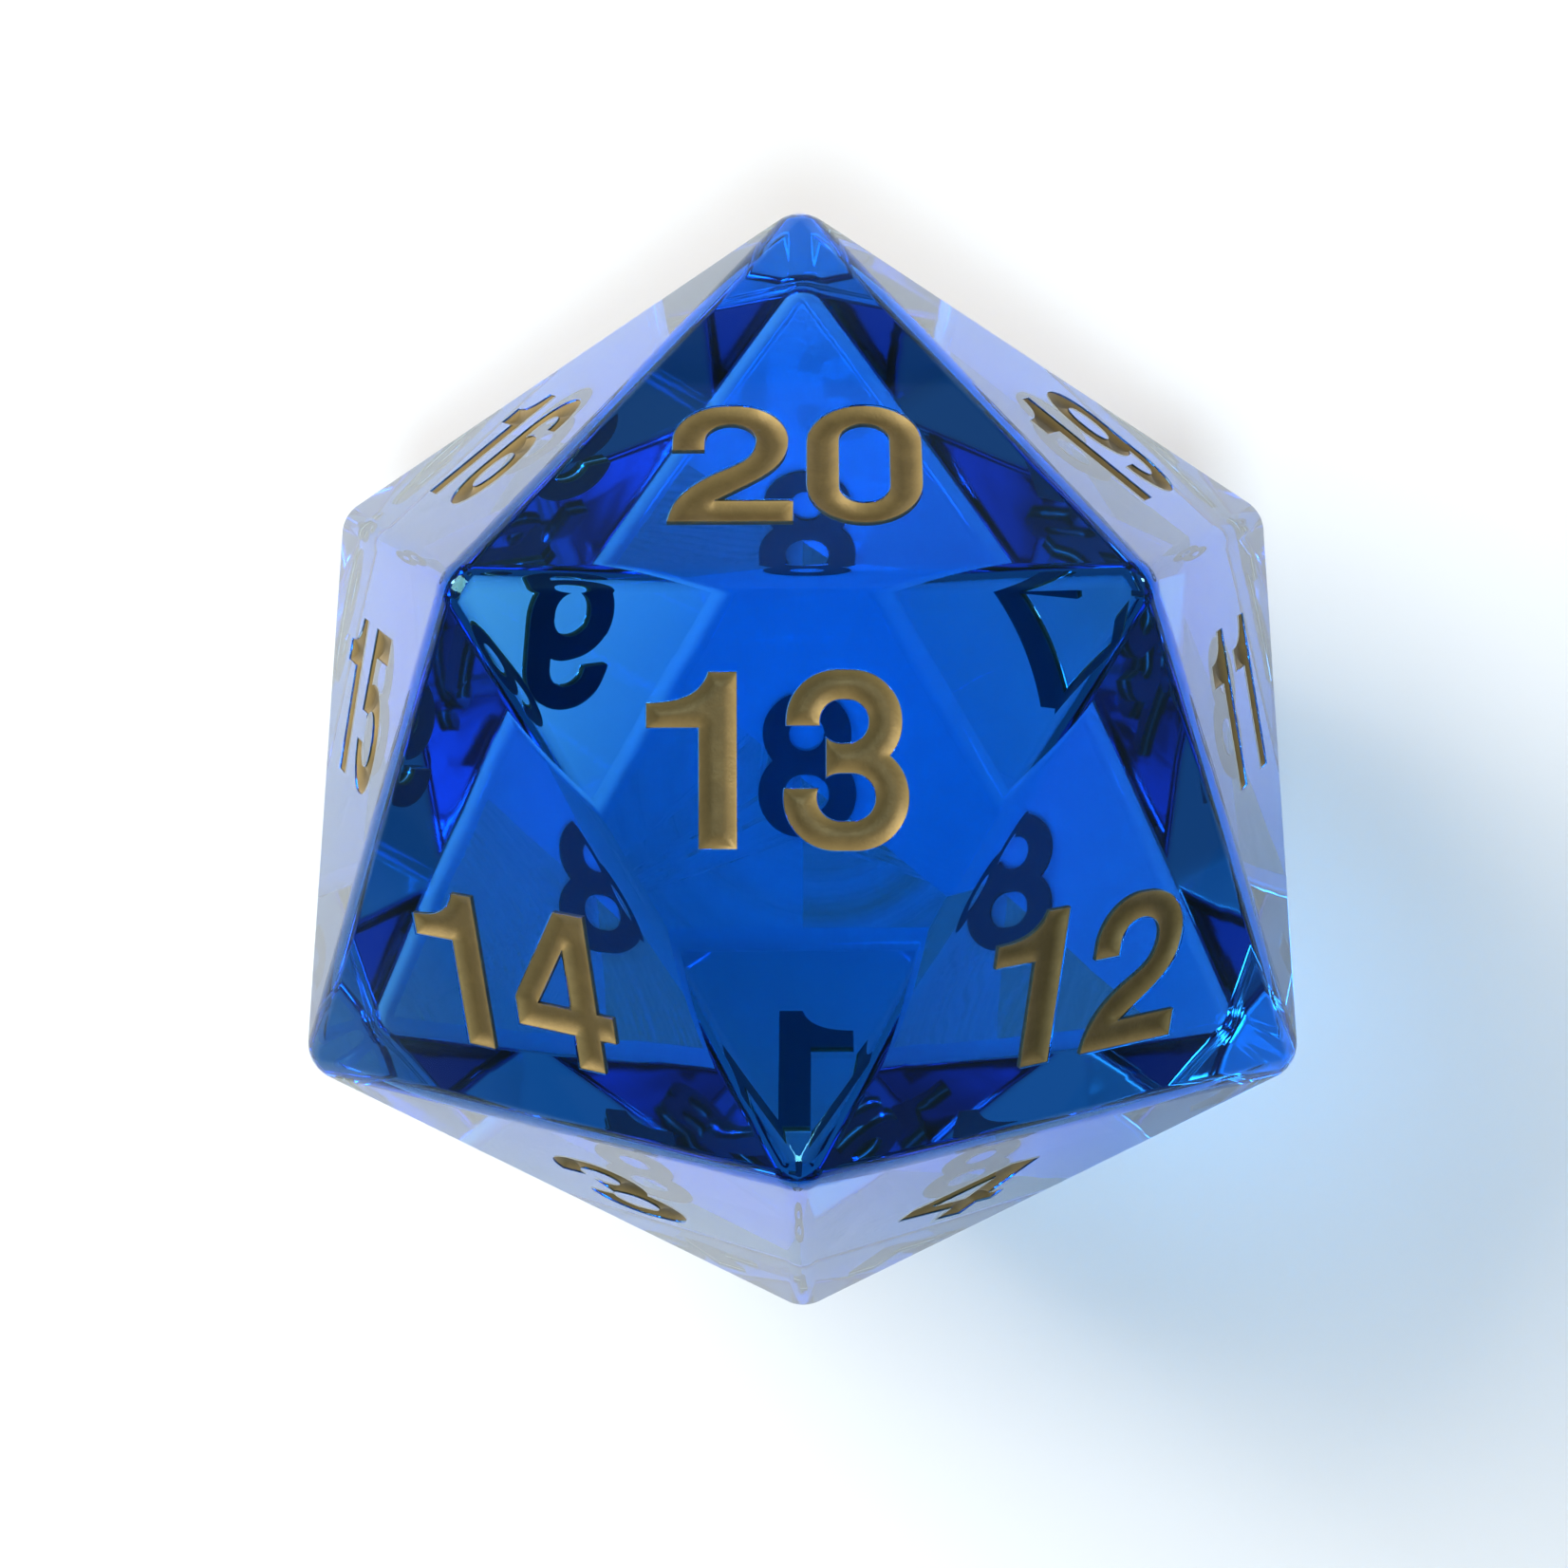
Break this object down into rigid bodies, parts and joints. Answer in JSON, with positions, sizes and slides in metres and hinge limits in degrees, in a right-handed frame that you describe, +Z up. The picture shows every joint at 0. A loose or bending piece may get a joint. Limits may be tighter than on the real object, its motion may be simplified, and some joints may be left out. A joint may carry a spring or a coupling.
{
  "type": "twenty-sided countdown die",
  "caption": "Large clear icosahedral die with rounded edges, its engraved numerals filled with gold-brown paint; 20 to 11 follow one another over one half, 10 to 1 over the other, and opposite faces add up to 21.",
  "frame": {"origin": "on the resting plane, under the middle of the die", "axes": "+Z up through face 13, which lies opposite the resting face 8; +Y towards the corner shared by faces 16 to 20; +X to the right of face 13's upright numeral"},
  "size_m": [0.0586, 0.0668, 0.055],
  "materials": {
    "clear_blue": "polished transparent blue acrylic",
    "numeral_paint": "gold-brown paint dried in the engraving"
  },
  "bodies": {
    "root": {"die_body": "clear_blue", "numeral_01": "numeral_paint", "numeral_02": "numeral_paint", "numeral_03": "numeral_paint", "numeral_04": "numeral_paint", "numeral_05": "numeral_paint", "numeral_06": "numeral_paint", "numeral_07": "numeral_paint", "numeral_08": "numeral_paint", "numeral_09": "numeral_paint", "numeral_10": "numeral_paint", "numeral_11": "numeral_paint", "numeral_12": "numeral_paint", "numeral_13": "numeral_paint", "numeral_14": "numeral_paint", "numeral_15": "numeral_paint", "numeral_16": "numeral_paint", "numeral_17": "numeral_paint", "numeral_18": "numeral_paint", "numeral_19": "numeral_paint", "numeral_20": "numeral_paint"}
  },
  "joints": []
}
